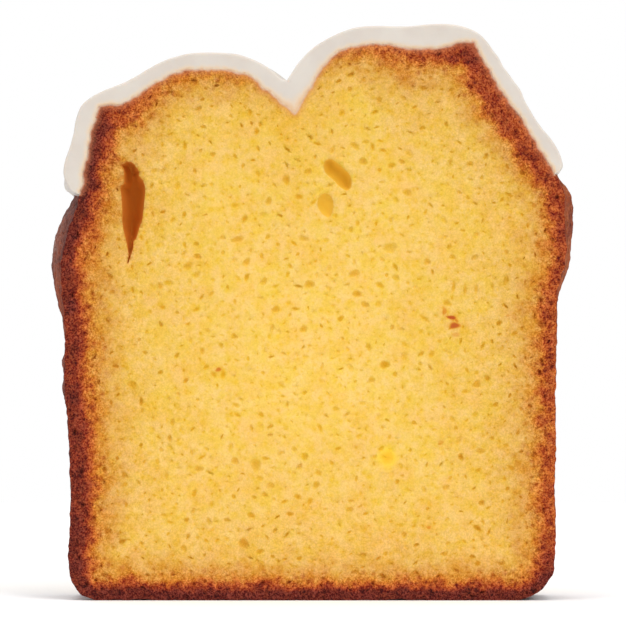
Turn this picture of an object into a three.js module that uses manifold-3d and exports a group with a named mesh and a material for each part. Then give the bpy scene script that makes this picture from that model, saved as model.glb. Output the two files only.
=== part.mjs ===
// A slice of iced lemon loaf cake that stands on its baked base, with a cut face to the front.
// It is two pieces: the cake, whose skin is browned by the tin, and the icing that was poured over the whole
// loaf, ran into its split and set on its shoulders, so that the knife cut through it with the crumb.
//
// Millimetres. Each piece is modelled in the slice's own frame: x to the right, y up, z out of the front.
// The group turns that frame upright, so the result has +Z up and its front face towards -Y.
// The origin is the middle of the footprint, on the surface that the slice stands on.
import * as THREE from "three";
import { mergeVertices } from "three/addons/utils/BufferGeometryUtils.js";
import Module from "manifold-3d";

const wasm = await Module();
wasm.setup();

// ---------------------------------------------------------------- driving dimensions
const THICKNESS = 22; // of the slice, between its two cuts
const TIN_WIDTH = 97; // between the walls of the tin, half way up
const RIM_HEIGHT = 62; // of the tin: above it the cake swells out over the rim
const LIP_HEIGHT = 72; // where that swelling is widest
const BASE_LEFT = 41.5; // the base is flat this far to the left of the middle, and to the right
const BASE_RIGHT = 37.5;
const CORNER_LEFT = 9; // height of the rounded bottom corners
const CORNER_RIGHT = 10;
const SHOULDER_LEFT = [-42.7, 98.9]; // sharp corners where the slopes meet the top crust
const SHOULDER_RIGHT = [32.1, 111.6];
const SPLIT = [-3.4, 97.3]; // foot of the split along the top of the loaf
const ICING_GAP = 0.35; // between the icing and the cake, which touch on the real slice

const OUTLINE_STEP = 2.6; // length of one facet along the outlines
const DEPTH_STEPS = 7; // facets between the two cuts
const SWELL_LEFT = 2.6; // how much wider the slice is behind its front cut, at the lip
const SWELL_RIGHT = 1.8;
const SWELL_REACH = 13; // how far up and down that swelling fades
const CRUST_RELIEF = 0.3; // how far the tin-baked walls swing in and out
const ICING_RELIEF = 0.45; // the same for the poured surface of the icing
const HEM_SWING = 2.2; // how far the icing's lower edges run up and down between the cuts

const PORE_SEED = 20;
const PORE_EDGE = 2.4; // cake left between a pore's middle and the outline
// The largest pores in each cut: how many, their half widths, how far apart and how round they are
const PORE_KINDS = [
  { count: 22, least: 0.75, most: 1.2, apart: 9, detail: 1 },
  { count: 66, least: 0.45, most: 0.75, apart: 4.6, detail: 0 },
];

// ---------------------------------------------------------------- outlines
const vec = (points) => points.map(([x, y]) => new THREE.Vector2(x, y));

// The cut face of the cake, anticlockwise from the left end of its flat base.
function cakeOutline() {
  const wall = TIN_WIDTH / 2;
  const shape = new THREE.Shape();
  shape.moveTo(-BASE_LEFT, 0);
  shape.lineTo(BASE_RIGHT, 0);
  shape.bezierCurveTo(wall - 3, 0, wall, CORNER_RIGHT * 0.22, wall, CORNER_RIGHT);
  shape.splineThru(
    vec([
      [wall - 0.2, 26],
      [wall, 50],
      [wall + 0.3, RIM_HEIGHT],
      [wall + 2.2, LIP_HEIGHT - 3],
      [wall + 2.8, LIP_HEIGHT + 4],
      [wall + 1.2, LIP_HEIGHT + 11],
      [44.2, 92.6],
      [38.2, 101.6],
      SHOULDER_RIGHT,
    ]),
  );
  shape.splineThru(
    vec([
      [26, 111.3],
      [20.2, 110.1],
      [15, 110.9],
      [9.6, 111.2],
      [5.2, 109.8],
      [1.6, 106.4],
      SPLIT,
    ]),
  );
  shape.splineThru(
    vec([
      [-9.2, 102],
      [-13.2, 105.4],
      [-19.5, 106.2],
      [-26, 106],
      [-31.6, 103.5],
      [-36.6, 100],
      SHOULDER_LEFT,
    ]),
  );
  shape.splineThru(
    vec([
      [-44.8, 92],
      [-46.4, 82],
      [-49.3, LIP_HEIGHT + 2],
      [-wall - 2.1, LIP_HEIGHT - 6],
      [-wall - 0.9, RIM_HEIGHT - 6],
      [-wall - 0.8, RIM_HEIGHT - 20],
      [-wall + 0.1, 23],
      [-wall - 0.4, CORNER_LEFT],
    ]),
  );
  shape.bezierCurveTo(-wall - 0.4, CORNER_LEFT * 0.28, -wall + 1.5, 0, -BASE_LEFT, 0);
  return shape;
}

// The poured surface of the icing, from its left hem over both humps to its right hem. The split stays
// visible as a valley, because the icing only partly fills it.
function icingSurface() {
  const path = new THREE.Path();
  path.moveTo(-46.7, 81);
  path.splineThru(
    vec([
      [-48.8, 81.4],
      [-50, 83.4],
      [-49.6, 86.4],
      [-48, 92],
      [-46.8, 98.2],
      [-43.6, 101.2],
      [-37.4, 103.7],
      [-31.6, 107],
      [-26.4, 109.2],
      [-20, 109.7],
      [-14, 109.1],
      [-9.6, 107.1],
      [-5.5, 104.3],
    ]),
  );
  path.splineThru(
    vec([
      [-2.3, 108.2],
      [1.8, 111.8],
      [7.2, 114.3],
      [12, 115],
      [18.8, 114.8],
      [26.5, 115.4],
      [32, 114.3],
      [35.6, 111],
      [39.2, 105.6],
      [43.2, 98.7],
      [48.2, 91.6],
      [50.2, 87.4],
      [49.3, 85.1],
    ]),
  );
  return path;
}

// Points along a shape or path, no further apart than OUTLINE_STEP, with its corners kept.
function stepsAlong(path) {
  const points = [];
  for (const curve of path.curves) {
    const count = Math.max(1, Math.round(curve.getLength() / OUTLINE_STEP));
    points.push(...curve.getSpacedPoints(count).slice(points.length ? 1 : 0));
  }
  return points;
}

// The points moved outwards by a distance. Where the line bends, the mitre keeps that distance on both sides.
function movedOut(points, distance) {
  return points.map((p, i) => {
    const before = points[Math.max(0, i - 1)];
    const after = points[Math.min(points.length - 1, i + 1)];
    const normals = [
      [before, p],
      [p, after],
    ]
      .map(([a, b]) => b.clone().sub(a))
      .filter((along) => along.length() > 0)
      .map((along) => new THREE.Vector2(along.y, -along.x).normalize());
    const middle = normals.reduce((sum, n) => sum.add(n), new THREE.Vector2()).normalize();
    return p.clone().addScaledVector(middle, distance / middle.dot(normals[0]));
  });
}

// ---------------------------------------------------------------- relief
const bump = (value, middle, reach) => Math.exp(-(((value - middle) / reach) ** 2));
const ramp = (value, from, to) => THREE.MathUtils.smoothstep(value, from, to);

// 0 at the front cut and 1 at the back one.
const behind = (z) => (THICKNESS - z) / THICKNESS;

// The loaf's form behind the front cut: it swells at the lip, and its humps and its split wander a little.
function loafMove(p) {
  const t = behind(p.z);
  const side = p.x < 0 ? -SWELL_LEFT : SWELL_RIGHT;
  const lip = bump(p.y, LIP_HEIGHT, SWELL_REACH) * ramp(Math.abs(p.x), 20, 45);
  const top = ramp(p.y, 88, 100);
  p.x += side * lip * ramp(t, 0, 0.75);
  p.x += top * bump(p.x, SPLIT[0], 14) * Math.sin(t * Math.PI * 0.8);
  p.y -= top * 0.7 * Math.sin(t * Math.PI * 0.5) * (p.x > 0 ? 1 : 0.3);
}

// Slow swings of the tin-baked skin. They fade towards both cuts and towards the flat base, which stays true.
function crustMove(p, hemHeight) {
  const bare = ramp(p.y, 3, 9) * (1 - ramp(p.y, hemHeight - 6, hemHeight));
  const between = Math.sin(behind(p.z) * Math.PI);
  const swing = Math.sin(p.y * 0.55 + p.z * 0.5 + p.x) + Math.sin(p.y * 0.23 - p.z * 0.9);
  const onWall = ramp(Math.abs(p.x), 40, 46);
  p.x += Math.sign(p.x) * onWall * bare * between * swing * CRUST_RELIEF * 0.5;
}

// Soft swells of the poured icing, and the way that its hems run down the slopes between the cuts.
function icingMove(p, depthIn) {
  const outer = ramp(depthIn, ICING_GAP + 0.6, ICING_GAP + 2.4);
  const t = behind(p.z);
  const swell = Math.sin(p.x * 0.31 + t * 5) * 0.6 + Math.sin(p.x * 0.13 - t * 7 + 1) * 0.4;
  p.y += outer * ICING_RELIEF * swell * Math.sin(t * Math.PI) * ramp(p.y, 95, 104);
}

// The two hems: the way down their slope, the heights between which their swing fades out, and the swing at a
// depth t as a share of HEM_SWING. It is 0 at the front cut.
const HEM_LEFT = {
  down: [-0.17, -1],
  from: 83,
  to: 93,
  swing: (t) => 0.6 * Math.sin(t * 7.2) + 0.5 * t,
};
const HEM_RIGHT = {
  down: [0.5, -0.86],
  from: 87,
  to: 97,
  swing: (t) => 0.8 * (Math.sin(t * 5 + 0.4) - Math.sin(0.4)),
};

// Moves a hem point down its own slope, so that the icing runs lower without leaving the cake.
function hemMove(p) {
  const hem = p.x < 0 ? HEM_LEFT : HEM_RIGHT;
  const drop = HEM_SWING * hem.swing(behind(p.z)) * (1 - ramp(p.y, hem.from, hem.to));
  p.x += hem.down[0] * drop;
  p.y += hem.down[1] * drop;
}

// ---------------------------------------------------------------- solids
// A closed outline extruded from the back cut (z = 0) to the front cut, with its vertices moved by a rule.
function extruded(points, move) {
  const geometry = new THREE.ExtrudeGeometry(new THREE.Shape(points), {
    depth: THICKNESS,
    steps: DEPTH_STEPS,
    bevelEnabled: false,
  });
  const position = geometry.getAttribute("position");
  const p = new THREE.Vector3();
  for (let i = 0; i < position.count; i++) {
    p.fromBufferAttribute(position, i);
    move(p);
    position.setXYZ(i, p.x, p.y, p.z);
  }
  return geometry;
}

function toSolid(geometry) {
  const bare = geometry.clone();
  bare.deleteAttribute("normal");
  bare.deleteAttribute("uv");
  const merged = mergeVertices(bare, 1e-4);
  return new wasm.Manifold(
    new wasm.Mesh({
      numProp: 3,
      vertProperties: merged.getAttribute("position").array,
      triVerts: new Uint32Array(merged.index.array),
    }),
  );
}

function toGeometry(solid) {
  const made = solid.getMesh();
  const geometry = new THREE.BufferGeometry();
  geometry.setAttribute("position", new THREE.BufferAttribute(made.vertProperties, 3));
  geometry.setIndex(new THREE.BufferAttribute(made.triVerts, 1));
  geometry.computeVertexNormals();
  return geometry;
}

// ---------------------------------------------------------------- holes in the crumb
// A seeded draw from 0 to 1, the same on every run.
function drawFrom(seed) {
  let state = seed;
  return () => {
    state = (state * 1664525 + 1013904223) % 4294967296;
    return state / 4294967296;
  };
}

// A pore: a squashed ball that lies half in a cut face. Its middle is on the face.
function pore({ at, half, turn, detail }, faceZ) {
  const geometry = new THREE.IcosahedronGeometry(1, detail);
  geometry.rotateX(0.7 + at.x);
  geometry.scale(half.x, half.y, half.z);
  geometry.rotateZ(turn);
  geometry.translate(at.x, at.y, faceZ);
  return geometry;
}

// The tall tunnel beside the left slope. It narrows to a point at its foot and closes inside the crumb.
const TUNNEL_DEPTH = 9;
const TUNNEL = vec([
  [-37.1, 67.2],
  [-36, 70],
  [-34.9, 73.7],
  [-34, 77.4],
  [-33.6, 81.8],
  [-34.3, 84.6],
  [-35.4, 87],
  [-36.8, 87.9],
  [-38.4, 87.1],
  [-37.9, 84.8],
  [-38.6, 82.4],
  [-38.2, 77],
  [-37.6, 72],
]);

function tunnel() {
  const proud = 1; // in front of the cut face, so that the cut is clean
  const geometry = new THREE.ExtrudeGeometry(new THREE.Shape(TUNNEL), {
    depth: TUNNEL_DEPTH + proud,
    steps: 4,
    bevelEnabled: false,
  });
  const spine = TUNNEL.reduce((sum, p) => sum.add(p), new THREE.Vector2()).divideScalar(TUNNEL.length);
  const position = geometry.getAttribute("position");
  for (let i = 0; i < position.count; i++) {
    const z = position.getZ(i);
    const narrow = 0.3 + 0.7 * Math.sqrt(Math.min(1, z / TUNNEL_DEPTH));
    position.setXYZ(
      i,
      spine.x + (position.getX(i) - spine.x) * narrow,
      spine.y + (position.getY(i) - spine.y) * narrow,
      z + THICKNESS - TUNNEL_DEPTH,
    );
  }
  return geometry;
}

// The two oval holes beside the split that show best.
const OVALS = [
  { at: new THREE.Vector2(4.7, 85.2), half: new THREE.Vector3(3.7, 1.55, 2.2), turn: -0.92, detail: 2 },
  { at: new THREE.Vector2(2.6, 79), half: new THREE.Vector3(1.5, 2.3, 1.6), turn: -0.1, detail: 1 },
];

// Pores spread evenly over a cut face, the larger ones first, clear of the outline, each other and keepOff.
function scatterPores(outline, seed, keepOff) {
  const draw = drawFrom(seed);
  const box = new THREE.Box2().setFromPoints(outline);
  const size = box.getSize(new THREE.Vector2());
  const pores = [];
  for (const { count, least, most, apart, detail } of PORE_KINDS) {
    const full = pores.length + count;
    while (pores.length < full) {
      const at = new THREE.Vector2(box.min.x + draw() * size.x, box.min.y + draw() * size.y);
      const crowds = (other) => at.distanceTo(other) < apart;
      if (!isInside(at, outline) || edgeDistance(at, outline) < PORE_EDGE) continue;
      if (keepOff.some(crowds) || pores.some((made) => crowds(made.at))) continue;
      const wide = least + (most - least) * draw() ** 2;
      const half = new THREE.Vector3(wide, wide * (0.55 + 0.4 * draw()), wide * (0.6 + 0.5 * draw()));
      pores.push({ at, half, turn: draw() * Math.PI, detail });
    }
  }
  return pores;
}

function isInside(p, outline) {
  let inside = false;
  outline.forEach((a, i) => {
    const b = outline[(i + 1) % outline.length];
    if (a.y > p.y !== b.y > p.y && p.x < ((b.x - a.x) * (p.y - a.y)) / (b.y - a.y) + a.x) inside = !inside;
  });
  return inside;
}

function edgeDistance(p, outline) {
  const nearest = new THREE.Vector3();
  const point = new THREE.Vector3(p.x, p.y, 0);
  const line = new THREE.Line3();
  return Math.min(
    ...outline.map((a, i) => {
      const b = outline[(i + 1) % outline.length];
      line.start.set(a.x, a.y, 0);
      line.end.set(b.x, b.y, 0);
      return line.closestPointToPoint(point, true, nearest).distanceTo(point);
    }),
  );
}

// ---------------------------------------------------------------- the two pieces
const outline = stepsAlong(cakeOutline()).slice(0, -1);
const surface = stepsAlong(icingSurface());
const hemHeight = 83; // the icing covers the walls from here up

function makeCake() {
  const body = toSolid(
    extruded(outline, (p) => {
      crustMove(p, hemHeight - HEM_SWING);
      loafMove(p);
    }),
  );
  const front = scatterPores(outline, PORE_SEED, [...TUNNEL, ...OVALS.map((oval) => oval.at)]);
  const back = scatterPores(outline, PORE_SEED + 1, []);
  const holes = [
    tunnel(),
    ...[...OVALS, ...front].map((hole) => pore(hole, THICKNESS)),
    ...back.map((hole) => pore(hole, 0)),
  ].map(toSolid);
  return toGeometry(body.subtract(wasm.Manifold.union(holes)));
}

// The icing lies between its poured surface and the cake's own outline from hem to hem.
function makeIcing() {
  const nearest = (end) => outline.reduce((a, b) => (a.distanceTo(end) < b.distanceTo(end) ? a : b));
  const rightHem = outline.indexOf(nearest(surface.at(-1)));
  const leftHem = outline.indexOf(nearest(surface[0]));
  const inner = movedOut(outline.slice(rightHem, leftHem + 1), ICING_GAP);
  const loop = [...surface.slice(1, -1).reverse(), ...inner.reverse()];
  return extruded(loop, (p) => {
    icingMove(p, edgeDistance(p, outline));
    hemMove(p);
    loafMove(p);
  });
}

function material(color, roughness) {
  return new THREE.MeshStandardMaterial({ color, roughness, metalness: 0 });
}

const slice = new THREE.Group();
const cake = new THREE.Mesh(makeCake(), material("#f0c560", 0.85));
cake.name = "cake";
const icing = new THREE.Mesh(toGeometry(toSolid(makeIcing())), material("#e9e2d8", 0.4));
icing.name = "icing";
slice.add(cake, icing);

// Stands the slice up, and centres its box on the origin.
slice.rotation.x = Math.PI / 2;
slice.updateMatrixWorld(true);
const box = new THREE.Box3().setFromObject(slice);
const middle = box.getCenter(new THREE.Vector3());
slice.position.set(-middle.x, -middle.y, -box.min.z);

export default slice;
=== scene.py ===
"""A slice of iced lemon loaf cake that stands on its base, its cut face to the camera.

The frame's two nodes give every outline. This script cuts them into sections, smooths those, and builds
on them what the solids leave out: the open crumb with its thousands of pores, the browned skin, the zest,
and the soft icing that has soaked a little way into the cake. Lengths are in millimetres, and become metres
when a mesh is made. The places and sizes of the lamps and the paper are in metres.
"""
import math
from dataclasses import dataclass

import bmesh
import bpy
import numpy as np
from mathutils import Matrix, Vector, kdtree, noise
from mathutils.geometry import delaunay_2d_cdt


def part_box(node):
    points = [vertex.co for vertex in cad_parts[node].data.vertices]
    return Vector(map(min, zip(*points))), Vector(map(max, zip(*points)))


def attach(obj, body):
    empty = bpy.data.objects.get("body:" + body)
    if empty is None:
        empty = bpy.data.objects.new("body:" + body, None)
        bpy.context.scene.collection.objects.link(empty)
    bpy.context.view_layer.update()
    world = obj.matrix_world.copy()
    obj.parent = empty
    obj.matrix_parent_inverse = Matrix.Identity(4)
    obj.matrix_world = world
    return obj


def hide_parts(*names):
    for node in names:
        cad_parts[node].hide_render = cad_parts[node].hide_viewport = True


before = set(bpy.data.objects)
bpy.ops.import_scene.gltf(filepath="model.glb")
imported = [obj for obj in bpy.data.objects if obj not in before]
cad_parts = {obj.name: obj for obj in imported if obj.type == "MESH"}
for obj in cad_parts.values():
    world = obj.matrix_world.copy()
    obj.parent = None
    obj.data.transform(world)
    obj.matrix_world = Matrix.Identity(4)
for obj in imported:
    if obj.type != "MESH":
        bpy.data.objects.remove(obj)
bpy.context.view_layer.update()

MM = 0.001
LOW, HIGH = (np.array(corner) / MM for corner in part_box("cake"))
FRONT, BACK = LOW[1], HIGH[1]
THICKNESS = BACK - FRONT
SECTION_INSET = 0.01  # a section taken right on a cut face would find nothing

OUTLINE_STEP = 0.5  # between the points of an outline
FINE_STEP = 0.35  # between the points that an outline is smoothed with
SMOOTHING = 0.9  # how far that smoothing reaches
CORNER_REACH = 2.5  # lengths of line before and after a corner that say how sharp it is
CORNER_TURN = math.radians(45)
CORNER_DRIFT = 4.0  # how far a corner may move from one section to the next
SECTIONS = 12  # sections through the thickness
SHARES = np.linspace(0, 1, SECTIONS)
DEPTHS = np.linspace(FRONT + SECTION_INSET, BACK - SECTION_INSET, SECTIONS)
SKIN_ROWS = 20  # rows of faces across the skin, between the two cuts


# ---- sections of the frame
def tree_of(points):
    """A search tree over points (x, z)."""
    tree = kdtree.KDTree(len(points))
    for index, (x, z) in enumerate(points):
        tree.insert((x, z, 0), index)
    tree.balance()
    return tree


def nearest(points, line):
    """For each point, how far the nearest point of a line is, and which one it is."""
    tree = tree_of(line)
    found = [tree.find((x, z, 0)) for x, z in points]
    return np.array([f[2] for f in found]), np.array([f[1] for f in found], int)


def within(tree, centre, reach):
    """Which of a tree's points lie within reach of a centre."""
    return [index for _, index, _ in tree.find_range((*centre, 0), reach)]


def placed(points, depth):
    """Points (x, z) as places in space, at one depth or at one for each."""
    return np.column_stack([points[:, 0], np.full(len(points), depth), points[:, 1]])


def welded(node):
    """A node's mesh with its split vertices joined again."""
    mesh = bmesh.new()
    mesh.from_mesh(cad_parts[node].data)
    bmesh.ops.remove_doubles(mesh, verts=mesh.verts[:], dist=1e-7)
    return mesh


def loops_at(mesh, depth):
    """The closed lines in which the plane y = depth cuts a mesh, the longest first, anticlockwise."""
    cut_mesh = mesh.copy()
    parts = cut_mesh.verts[:] + cut_mesh.edges[:] + cut_mesh.faces[:]
    plane = (0, depth * MM, 0)
    cut = bmesh.ops.bisect_plane(cut_mesh, geom=parts, dist=1e-8, plane_co=plane, plane_no=(0, 1, 0))
    joined = {}
    for part in cut["geom_cut"]:
        if isinstance(part, bmesh.types.BMEdge):
            for here, there in (part.verts, reversed(part.verts)):
                joined.setdefault(here, []).append(there)
    loops = []
    while joined:
        here = next(iter(joined))
        line = []
        while here is not None:
            line.append((here.co.x / MM, here.co.z / MM))
            onward = joined.pop(here)
            here = next((there for there in onward if there in joined), None)
        loops.append(anticlockwise(np.array(line)))
    cut_mesh.free()
    return sorted(loops, key=lambda loop: -line_length(loop))


def line_length(points):
    """The length of a closed line."""
    return np.linalg.norm(np.roll(points, -1, axis=0) - points, axis=1).sum()


def open_length(points):
    return np.linalg.norm(np.diff(points, axis=0), axis=1).sum()


def area(points):
    x, z = points.T
    return 0.5 * np.sum(x * np.roll(z, -1) - np.roll(x, -1) * z)


def anticlockwise(points):
    return points if area(points) > 0 else points[::-1]


def spaced(points, count, closed=False):
    """Points at even steps along a line. An open line keeps its two ends."""
    line = np.vstack([points, points[:1]]) if closed else points
    run = np.concatenate([[0], np.cumsum(np.linalg.norm(np.diff(line, axis=0), axis=1))])
    at = np.linspace(0, run[-1], count, endpoint=not closed)
    return np.column_stack([np.interp(at, run, line[:, axis]) for axis in (0, 1)])


def dense(line, times):
    """A closed line with many times its points, to measure gaps from."""
    return spaced(line, times * len(line), closed=True)


def softened(points, closed=False, passes=None):
    """Rounds the facets off a line whose points are FINE_STEP apart. An open line keeps its two ends."""
    passes = passes or round(2 * (SMOOTHING / FINE_STEP) ** 2)
    line = points.copy()
    for _ in range(passes):
        mean = (np.roll(line, 1, axis=0) + 2 * line + np.roll(line, -1, axis=0)) / 4
        line = mean if closed else np.vstack([line[:1], mean[1:-1], line[-1:]])
    return line


def turning(points):
    """How sharply a closed line turns at each of its points."""
    reach = round(CORNER_REACH / FINE_STEP)
    before = points - np.roll(points, reach, axis=0)
    after = np.roll(points, -reach, axis=0) - points
    return np.abs(np.angle((after @ [1, 1j]) / (before @ [1, 1j])))


def sharp_places(points):
    """The places of a closed line's sharp corners, in order."""
    turn = turning(points)
    apart = round(2 * CORNER_REACH / FINE_STEP)
    found = []
    for place in np.argsort(-turn):
        gaps = [abs(place - other) for other in found]
        if turn[place] > CORNER_TURN and all(apart < gap < len(points) - apart for gap in gaps):
            found.append(place)
    return np.sort(found)


def smooth_outline(loop, corners=None, counts=None):
    """A closed line with its facets smoothed away between its sharp corners, and its corners and counts.

    Given the corners and the counts of its neighbour, it gets the like.
    """
    fine = spaced(loop, round(line_length(loop) / FINE_STEP), closed=True)
    if corners is None:
        places = sharp_places(fine)
    else:
        near = np.linalg.norm(fine - corners[:, None], axis=2) < CORNER_DRIFT
        places = np.argmax(np.where(near, turning(fine), -1), axis=1)
    looped = np.roll(fine, -places[0], axis=0)
    looped = np.vstack([looped, looped[:1]])
    ends = [*((places - places[0]) % len(fine)), len(fine)]
    stretches = [softened(looped[start : end + 1]) for start, end in zip(ends, ends[1:])]
    counts = counts or [round(open_length(stretch) / OUTLINE_STEP) for stretch in stretches]
    return joined_up(stretches, counts), fine[places], counts


def joined_up(stretches, counts):
    """One closed line of open stretches that meet end to end, each with its own count of points."""
    return np.vstack([spaced(stretch, count + 1)[:-1] for stretch, count in zip(stretches, counts)])


def outward(points):
    """The unit normals of an anticlockwise closed line."""
    along = np.roll(points, -1, axis=0) - np.roll(points, 1, axis=0)
    normals = np.column_stack([along[:, 1], -along[:, 0]])
    return normals / np.linalg.norm(normals, axis=1)[:, None]


def inside(points, line):
    """Which points lie inside a closed line."""
    x, z = points[:, :1], points[:, 1:]
    (x1, z1), (x2, z2) = line.T, np.roll(line, -1, axis=0).T
    rise = np.where(z2 == z1, 1e-12, z2 - z1)
    crossed = ((z1 > z) != (z2 > z)) & (x < (x2 - x1) * (z - z1) / rise + x1)
    return crossed.sum(axis=1) % 2 == 1


def rough(points, scale, seed):
    """Smooth noise from -1 to 1 at points of two or three coordinates, with features about scale wide."""
    shift = Vector((seed * 7.3, seed * 3.1, seed * 5.7))
    flat = np.column_stack([points, np.zeros(len(points))]) if points.shape[1] == 2 else points
    return np.array([noise.noise(Vector(p) + shift) for p in flat / scale])


def layered(points, layers):
    """The sum of layers of such noise, each with its height, width and seed."""
    return sum(height * rough(points, width, seed) for height, width, seed in layers)


# ---- pores
@dataclass
class Pore:
    """A dimple in a cut face: an uneven ellipse with steep sides. Its shade says how deep its colour is,
    which is partly painted shade.
    """

    centre: np.ndarray
    half: np.ndarray
    turn: float
    depth: float
    shade: float
    waves: np.ndarray

    def uneven(self, angle):
        return 1 + 0.13 * np.cos(2 * angle + self.waves[0]) + 0.1 * np.cos(3 * angle + self.waves[1])

    def axes(self):
        cos, sin = math.cos(self.turn), math.sin(self.turn)
        return np.array([[cos, sin], [-sin, cos]])

    def ring(self, share, count):
        """Points around the pore, at a share of the way from its middle to its rim."""
        angle = np.linspace(0, 2 * math.pi, count, endpoint=False) + self.waves[2]
        local = np.column_stack([np.cos(angle), np.sin(angle)]) * (self.uneven(angle) * share)[:, None]
        return self.centre + (local * self.half) @ self.axes()

    def reach(self):
        return self.half.max() * PORE_SWELL

    def share_at(self, points):
        """0 in the middle, 1 on the rim."""
        local = ((points - self.centre) @ self.axes().T) / self.half
        return np.linalg.norm(local, axis=1) / self.uneven(np.arctan2(local[:, 1], local[:, 0]))


@dataclass
class Cavity:
    """A hole with an outline of its own. Its walls fall as (distance from the outline, depth) says."""

    name: str
    outline: np.ndarray
    walls: tuple
    full: float

    def rings(self):
        return [self.outline - outward(self.outline) * inset for inset, _ in self.walls]

    def depth_at(self, points):
        gaps, _ = nearest(points, dense(self.outline, 3))
        return np.where(inside(points, self.outline), np.interp(gaps, *zip(*self.walls)), 0)


# Around the three holes of the front cut: x, z
TUNNEL_OUTLINE = (
    (-37.8, 87.4), (-37.5, 87.8), (-37.3, 88.0), (-36.9, 87.8), (-36.2, 87.7), (-35.7, 87.3), (-35.4, 86.7),
    (-34.6, 85.7), (-34.9, 85.2), (-34.5, 84.6), (-33.9, 83.9), (-33.6, 83.0), (-33.5, 81.7), (-33.7, 79.8),
    (-33.9, 77.9), (-34.1, 76.0), (-34.6, 74.9), (-35.0, 73.4), (-35.4, 72.2), (-35.9, 71.8), (-35.9, 70.6),
    (-36.3, 69.3), (-36.7, 68.2), (-37.0, 67.1), (-37.2, 67.7), (-36.9, 69.1), (-37.2, 70.9), (-37.6, 72.8),
    (-38.0, 74.2), (-38.2, 75.7), (-38.2, 77.9), (-38.3, 80.4), (-38.5, 81.7), (-38.6, 82.8), (-37.8, 83.5),
    (-37.9, 84.7), (-37.8, 85.5), (-38.1, 86.7), (-38.5, 87.1),
)
UPPER_OVAL = (
    (2.0, 87.2), (2.3, 87.9), (3.0, 88.4), (3.9, 88.3), (4.8, 87.6), (6.1, 86.6), (7.3, 85.4), (7.8, 84.2),
    (7.7, 82.7), (7.2, 81.9), (6.3, 82.0), (5.3, 82.7), (4.5, 83.6), (3.7, 84.4), (2.9, 85.0), (2.3, 85.6),
)
LOWER_OVAL = (
    (0.9, 80.1), (1.3, 81.1), (2.1, 81.5), (3.0, 81.5), (3.7, 80.9), (4.2, 79.8), (4.1, 78.7), (3.9, 77.4),
    (3.4, 76.5), (2.6, 76.6), (1.7, 77.3), (1.0, 78.3), (0.7, 79.2),
)
TUNNEL_WALLS = ((0, 0), (0.12, 1.2), (0.4, 3.0), (0.8, 4.4), (1.3, 5.4), (1.9, 6.0))
OVAL_WALLS = ((0, 0), (0.15, 0.6), (0.45, 1.2), (0.9, 1.7), (1.4, 2.0))
LOW_OVAL_WALLS = ((0, 0), (0.15, 0.35), (0.45, 0.7), (0.9, 0.95), (1.3, 1.1))
# The holes: the value that colours each, its outline, how often that is smoothed, its walls, and the depth
# at which its colour is deepest, which in the ovals is painted shade
HOLES = (
    ("tunnel", TUNNEL_OUTLINE, 1, TUNNEL_WALLS, 6.0),
    ("oval", UPPER_OVAL, 4, OVAL_WALLS, 2.0),
    ("oval", LOWER_OVAL, 4, LOW_OVAL_WALLS, 2.0),
)

# Pores that stand out in the front cut: x, z, half length, half width, turn in degrees, shade
LANDMARK_PORES = (
    (8.3, 65.4, 1.1, 0.9, 30, 0.7),
    (8.8, 61.3, 0.95, 0.85, 0, 0.8),
    (14.3, 47.1, 1.05, 0.95, 20, 1.0),
    (-11.4, 27.0, 1.6, 0.95, 80, 0.8),
    (-1.9, 54.3, 0.85, 0.75, 0, 0.7),
    (-9.9, 63.8, 0.9, 0.7, 40, 0.6),
    (-15.1, 72.2, 1.4, 0.75, 5, 0.7),
    (-23.1, 68.8, 0.8, 0.7, 0, 0.7),
    (-23.3, 71.3, 0.6, 0.5, 0, 0.9),
    (15.7, 87.0, 0.8, 0.7, 0, 0.7),
    (8.4, 90.9, 1.3, 0.6, -35, 0.8),
    (-1.0, 85.8, 0.8, 0.75, 0, 0.6),
    (-5.3, 84.1, 1.2, 0.75, 80, 0.8),
    (-8.9, 79.8, 0.95, 0.65, 85, 0.7),
    (10.0, 87.8, 1.0, 0.85, 20, 0.7),
    (-7.5, 58.2, 0.9, 0.75, 0, 0.7),
    (10.4, 59.2, 0.8, 0.75, 0, 0.6),
    (22.8, 67.7, 0.8, 0.7, 0, 0.7),
    (15.4, 70.5, 1.4, 1.1, 0, 0.4),
    (22.4, 56.3, 1.7, 0.4, -35, 0.8),
    (28.1, 62.7, 1.4, 0.45, 85, 0.8),
    (30.4, 62.2, 1.3, 0.45, 90, 0.8),
    (32.6, 62.2, 1.2, 0.45, 88, 0.7),
    (38.6, 64.0, 1.0, 0.7, 80, 0.7),
    (33.5, 29.9, 0.9, 0.7, 10, 0.7),
    (36.5, 39.2, 0.6, 0.55, 0, 1.0),
    (20.2, 35.5, 0.6, 0.55, 0, 0.7),
    (-22.8, 26.3, 0.9, 0.7, 0, 0.6),
    (-15.6, 27.9, 0.9, 0.7, 0, 0.7),
    (-9.5, 28.4, 0.8, 0.5, 0, 0.8),
    (-4.6, 17.3, 0.8, 0.5, 10, 1.0),
    (-25.3, 16.1, 0.6, 0.55, 0, 1.0),
    (-10.6, 9.8, 0.9, 0.6, 0, 0.9),
    (-8.5, 22.9, 0.9, 0.7, 0, 0.5),
)
# Scattered pores: their detail, how many the front cut gets, their least and most half width, and how far
# apart they keep
PORE_KINDS = (
    ("full", 620, 0.4, 0.85, 1.6),
    ("plain", 1000, 0.26, 0.42, 1.0),
    ("dot", 900, 0.17, 0.26, 0.8),
)
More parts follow.
